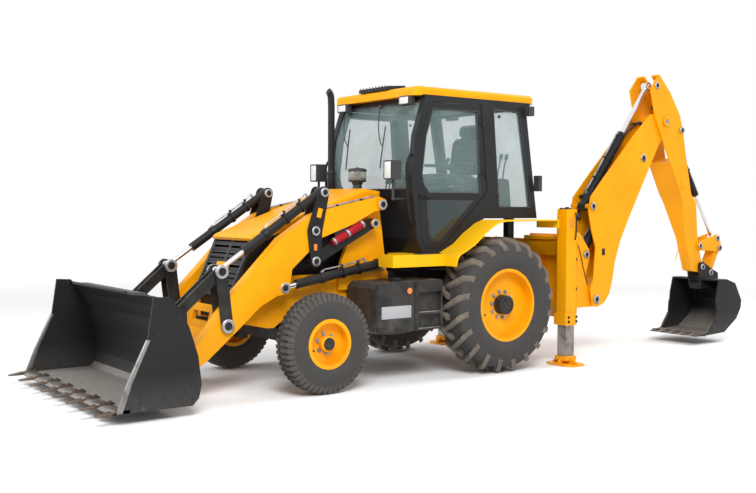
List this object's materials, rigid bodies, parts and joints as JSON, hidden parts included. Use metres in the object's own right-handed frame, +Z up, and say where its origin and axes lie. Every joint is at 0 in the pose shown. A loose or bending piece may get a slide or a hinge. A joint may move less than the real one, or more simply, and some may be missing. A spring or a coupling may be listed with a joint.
{
  "type": "backhoe loader",
  "caption": "Yellow backhoe loader with a tilting front loader bucket, a side-shift backhoe at the rear, two stabiliser legs and an enclosed cab.",
  "frame": {"origin": "on the floor, midway along and across the machine as it parks", "axes": "+X to the front, +Y to the machine's left, +Z up"},
  "size_m": [8.698, 2.46, 3.339],
  "materials": {
    "yellow_paint": "satin",
    "black_paint": "satin",
    "tyre_rubber": "matte",
    "glass": "gloss",
    "chrome": "gloss",
    "bucket_steel": "matte",
    "pin_steel": "satin",
    "seat_fabric": "matte",
    "dark_plastic": "matte",
    "lamp_lens": "gloss"
  },
  "bodies": {
    "machine": {"chassis": "black_paint", "axles": "black_paint", "engine_block": "black_paint", "hood": "yellow_paint", "grille": "black_paint", "exhaust_stack": "black_paint", "air_precleaner": "black_paint", "side_tanks": "black_paint", "fenders": "yellow_paint", "cab_frame": "black_paint", "cab_roof": "yellow_paint", "roof_vent": "black_paint", "cab_glass": "glass", "seat": "seat_fabric", "controls": "dark_plastic", "lamps": "lamp_lens", "rear_frame": "yellow_paint"},
    "left_door": {"left_door": "black_paint", "left_door_glass": "glass"},
    "right_door": {"right_door": "black_paint", "right_door_glass": "glass"},
    "rear_left_wheel": {"rear_left_tyre": "tyre_rubber", "rear_left_rim": "yellow_paint"},
    "rear_right_wheel": {"rear_right_tyre": "tyre_rubber", "rear_right_rim": "yellow_paint"},
    "front_left_wheel": {"front_left_tyre": "tyre_rubber", "front_left_rim": "yellow_paint"},
    "front_right_wheel": {"front_right_tyre": "tyre_rubber", "front_right_rim": "yellow_paint"},
    "left_knuckle": {"left_knuckle": "black_paint"},
    "right_knuckle": {"right_knuckle": "black_paint"},
    "loader_arms": {"loader_arms": "yellow_paint"},
    "bell_cranks": {"bell_cranks": "black_paint", "crank_pins": "pin_steel"},
    "levelling_links": {"levelling_links": "black_paint"},
    "lift_barrels": {"lift_barrels": "black_paint"},
    "lift_rods": {"lift_rods": "chrome"},
    "tilt_barrels": {"tilt_barrels": "black_paint"},
    "tilt_rods": {"tilt_rods": "chrome"},
    "tipping_levers": {"tipping_levers": "black_paint"},
    "tipping_links": {"tipping_links": "black_paint"},
    "loader_bucket": {"loader_bucket": "bucket_steel"},
    "bucket_pins": {"bucket_pins": "pin_steel"},
    "lever_pins": {"lever_pins": "pin_steel"},
    "tipping_pins": {"tipping_pins": "pin_steel"},
    "left_leg": {"left_leg": "yellow_paint"},
    "right_leg": {"right_leg": "yellow_paint"},
    "carriage": {"carriage": "yellow_paint"},
    "kingpost": {"kingpost": "yellow_paint"},
    "boom": {"boom": "yellow_paint"},
    "boom_barrel": {"boom_barrel": "black_paint"},
    "boom_rod": {"boom_rod": "chrome"},
    "dipper": {"dipper": "yellow_paint"},
    "dipper_barrel": {"dipper_barrel": "black_paint"},
    "dipper_rod": {"dipper_rod": "chrome"},
    "hoe_bucket": {"hoe_bucket": "bucket_steel"},
    "hoe_bucket_barrel": {"hoe_bucket_barrel": "black_paint"},
    "hoe_bucket_rod": {"hoe_bucket_rod": "chrome"},
    "hoe_lever": {"hoe_lever": "yellow_paint"},
    "hoe_link": {"hoe_link": "yellow_paint"}
  },
  "joints": [
    {"name": "rear_left_wheel_spin", "type": "hinge", "parent": "machine", "child": "rear_left_wheel", "pos_m": [-0.075, 0.896, 0.707], "axis": [0, 1, 0], "continuous": true},
    {"name": "rear_right_wheel_spin", "type": "hinge", "parent": "machine", "child": "rear_right_wheel", "pos_m": [-0.075, -0.896, 0.707], "axis": [0, 1, 0], "continuous": true},
    {"name": "front_left_wheel_spin", "type": "hinge", "parent": "left_knuckle", "child": "front_left_wheel", "pos_m": [2.095, 0.9175, 0.466], "axis": [0, 1, 0], "continuous": true},
    {"name": "front_right_wheel_spin", "type": "hinge", "parent": "right_knuckle", "child": "front_right_wheel", "pos_m": [2.095, -0.9175, 0.466], "axis": [0, 1, 0], "continuous": true},
    {"name": "left_steering", "type": "hinge", "parent": "machine", "child": "left_knuckle", "pos_m": [2.095, 0.735, 0.466], "axis": [0, 0, 1], "range_deg": [-34, 34]},
    {"name": "right_steering", "type": "hinge", "parent": "machine", "child": "right_knuckle", "pos_m": [2.095, -0.735, 0.466], "axis": [0, 0, 1], "range_deg": [-34, 34]},
    {"name": "left_door_swing", "type": "hinge", "parent": "machine", "child": "left_door", "pos_m": [-0.057, 0.765, 1.9], "axis": [0.1045, 0, 0.9945], "range_deg": [0, 65]},
    {"name": "right_door_swing", "type": "hinge", "parent": "machine", "child": "right_door", "pos_m": [-0.057, -0.765, 1.9], "axis": [-0.1045, 0, -0.9945], "range_deg": [0, 65]},
    {"name": "loader_lift", "type": "hinge", "parent": "machine", "child": "loader_arms", "pos_m": [1.206, 0, 1.743], "axis": [0, -1, 0], "range_deg": [-4, 76]},
    {"name": "lift_ram_pivot", "type": "hinge", "parent": "machine", "child": "lift_barrels", "pos_m": [1.194, 0, 1.151], "axis": [0, -1, 0], "range_deg": [-3.81, 67.03]},
    {"name": "lift_ram_stroke", "type": "slide", "parent": "lift_barrels", "child": "lift_rods", "axis": [0.9857, 0, -0.1687], "range_m": [-0.0419, 0.7054]},
    {"name": "levelling_link_pivot", "type": "hinge", "parent": "machine", "child": "levelling_links", "pos_m": [1.288, 0, 1.556], "axis": [0, -1, 0], "range_deg": [-4.54, 80.86]},
    {"name": "bell_crank_pivot", "type": "hinge", "parent": "loader_arms", "child": "bell_cranks", "pos_m": [1.993, 0, 1.49], "axis": [0, -1, 0], "range_deg": [-47.34, 2.78]},
    {"name": "lever_pin_turn", "type": "hinge", "parent": "loader_arms", "child": "lever_pins", "pos_m": [2.922, 0, 0.647], "axis": [0, -1, 0], "range_deg": [-28.88, 1.8]},
    {"name": "bucket_pin_turn", "type": "hinge", "parent": "loader_arms", "child": "bucket_pins", "pos_m": [3.285, 0, 0.345], "axis": [0, -1, 0], "range_deg": [-30.02, 1.86]},
    {"name": "loader_tilt", "type": "hinge", "parent": "bucket_pins", "child": "loader_bucket", "pos_m": [3.285, 0, 0.345], "axis": [0, -1, 0], "range_deg": [-78, 30]},
    {"name": "tipping_lever_pivot", "type": "hinge", "parent": "lever_pins", "child": "tipping_levers", "pos_m": [2.922, 0, 0.647], "axis": [0, -1, 0], "range_deg": [-70.5, 27.3]},
    {"name": "tipping_pin_turn", "type": "hinge", "parent": "tipping_levers", "child": "tipping_pins", "pos_m": [2.981, 0, 1.138], "axis": [0, -1, 0], "range_deg": [-1.61, 25.23]},
    {"name": "tipping_link_pivot", "type": "hinge", "parent": "tipping_pins", "child": "tipping_links", "pos_m": [2.981, 0, 1.138], "axis": [0, -1, 0], "range_deg": [-24.27, 62.62]},
    {"name": "tilt_ram_pivot", "type": "hinge", "parent": "bell_cranks", "child": "tilt_barrels", "pos_m": [1.891, 0, 1.856], "axis": [0, -1, 0], "range_deg": [-2.36, 39.44]},
    {"name": "tilt_ram_stroke", "type": "slide", "parent": "tilt_barrels", "child": "tilt_rods", "axis": [0.8351, 0, -0.5501], "range_m": [-0.2087, 0.5346]},
    {"name": "left_leg_drop", "type": "slide", "parent": "machine", "child": "left_leg", "axis": [0, 0, 1], "range_m": [-0.18, 0.34]},
    {"name": "right_leg_drop", "type": "slide", "parent": "machine", "child": "right_leg", "axis": [0, 0, 1], "range_m": [-0.18, 0.34]},
    {"name": "side_shift", "type": "slide", "parent": "machine", "child": "carriage", "axis": [0, 1, 0], "range_m": [-1.16, 0]},
    {"name": "slew", "type": "hinge", "parent": "carriage", "child": "kingpost", "pos_m": [-1.435, 0.58, 0.9], "axis": [0, 0, -1], "range_deg": [-90, 90]},
    {"name": "boom_lift", "type": "hinge", "parent": "kingpost", "child": "boom", "pos_m": [-1.813, 0.58, 0.649], "axis": [0, 1, 0], "range_deg": [-80, 21]},
    {"name": "boom_ram_pivot", "type": "hinge", "parent": "kingpost", "child": "boom_barrel", "pos_m": [-1.69, 0.58, 1.173], "axis": [0, 1, 0], "range_deg": [-82.6, 21.9]},
    {"name": "boom_ram_stroke", "type": "slide", "parent": "boom_barrel", "child": "boom_rod", "axis": [-0.6348, 0, 0.7727], "range_m": [-0.1846, 0.6893]},
    {"name": "dipper_swing", "type": "hinge", "parent": "boom", "child": "dipper", "pos_m": [-3.015, 0.58, 2.771], "axis": [0, -1, 0], "range_deg": [-90, 25]},
    {"name": "dipper_ram_pivot", "type": "hinge", "parent": "boom", "child": "dipper_barrel", "pos_m": [-1.738, 0.58, 1.732], "axis": [0, -1, 0], "range_deg": [-0.57, 1.27]},
    {"name": "dipper_ram_stroke", "type": "slide", "parent": "dipper_barrel", "child": "dipper_rod", "axis": [-0.5981, 0, 0.8014], "range_m": [-0.6677, 0.1891]},
    {"name": "hoe_bucket_curl", "type": "hinge", "parent": "dipper", "child": "hoe_bucket", "pos_m": [-3.875, 0.58, 0.956], "axis": [0, -1, 0], "range_deg": [-65, 95]},
    {"name": "hoe_lever_pivot", "type": "hinge", "parent": "dipper", "child": "hoe_lever", "pos_m": [-3.825, 0.58, 1.23], "axis": [0, -1, 0], "range_deg": [-31.63, 46.09]},
    {"name": "hoe_link_pivot", "type": "hinge", "parent": "hoe_lever", "child": "hoe_link", "pos_m": [-4.24, 0.58, 1.195], "axis": [0, -1, 0], "range_deg": [-13.6, 9.4]},
    {"name": "hoe_bucket_ram_pivot", "type": "hinge", "parent": "dipper", "child": "hoe_bucket_barrel", "pos_m": [-3.311, 0.58, 2.683], "axis": [0, -1, 0], "range_deg": [-3.94, 5.62]},
    {"name": "hoe_bucket_ram_stroke", "type": "slide", "parent": "hoe_bucket_barrel", "child": "hoe_bucket_rod", "axis": [-0.5482, 0, -0.8364], "range_m": [-0.1876, 0.2719]}
  ],
  "couplings": [
    {"joint": "right_steering", "follows": "left_steering", "ratio": 1},
    {"joint": "lift_ram_pivot", "follows": "loader_lift", "ratio": 0.878},
    {"joint": "lift_ram_stroke", "follows": "loader_lift", "m_per_rad": 0.528},
    {"joint": "levelling_link_pivot", "follows": "loader_lift", "ratio": 1.06},
    {"joint": "bell_crank_pivot", "follows": "loader_lift", "ratio": -0.619},
    {"joint": "lever_pin_turn", "follows": "loader_lift", "ratio": -0.376},
    {"joint": "bucket_pin_turn", "follows": "loader_lift", "ratio": -0.391},
    {"joint": "tipping_lever_pivot", "follows": "loader_tilt", "ratio": 0.9},
    {"joint": "tipping_pin_turn", "follows": "loader_lift", "ratio": 0.328},
    {"joint": "tipping_link_pivot", "follows": "loader_tilt", "ratio": -0.799},
    {"joint": "tilt_ram_pivot", "follows": "loader_lift", "ratio": 0.515},
    {"joint": "tilt_ram_stroke", "follows": "loader_tilt", "m_per_rad": -0.389},
    {"joint": "boom_ram_pivot", "follows": "boom_lift", "ratio": 1.0287},
    {"joint": "boom_ram_stroke", "follows": "boom_lift", "m_per_rad": -0.4901},
    {"joint": "dipper_ram_pivot", "follows": "dipper_swing", "ratio": -0.0108},
    {"joint": "dipper_ram_stroke", "follows": "dipper_swing", "m_per_rad": 0.4219},
    {"joint": "hoe_lever_pivot", "follows": "hoe_bucket_curl", "ratio": 0.482},
    {"joint": "hoe_link_pivot", "follows": "hoe_bucket_curl", "ratio": -0.14},
    {"joint": "hoe_bucket_ram_pivot", "follows": "hoe_bucket_curl", "ratio": 0.056},
    {"joint": "hoe_bucket_ram_stroke", "follows": "hoe_bucket_curl", "m_per_rad": 0.161}
  ]
}
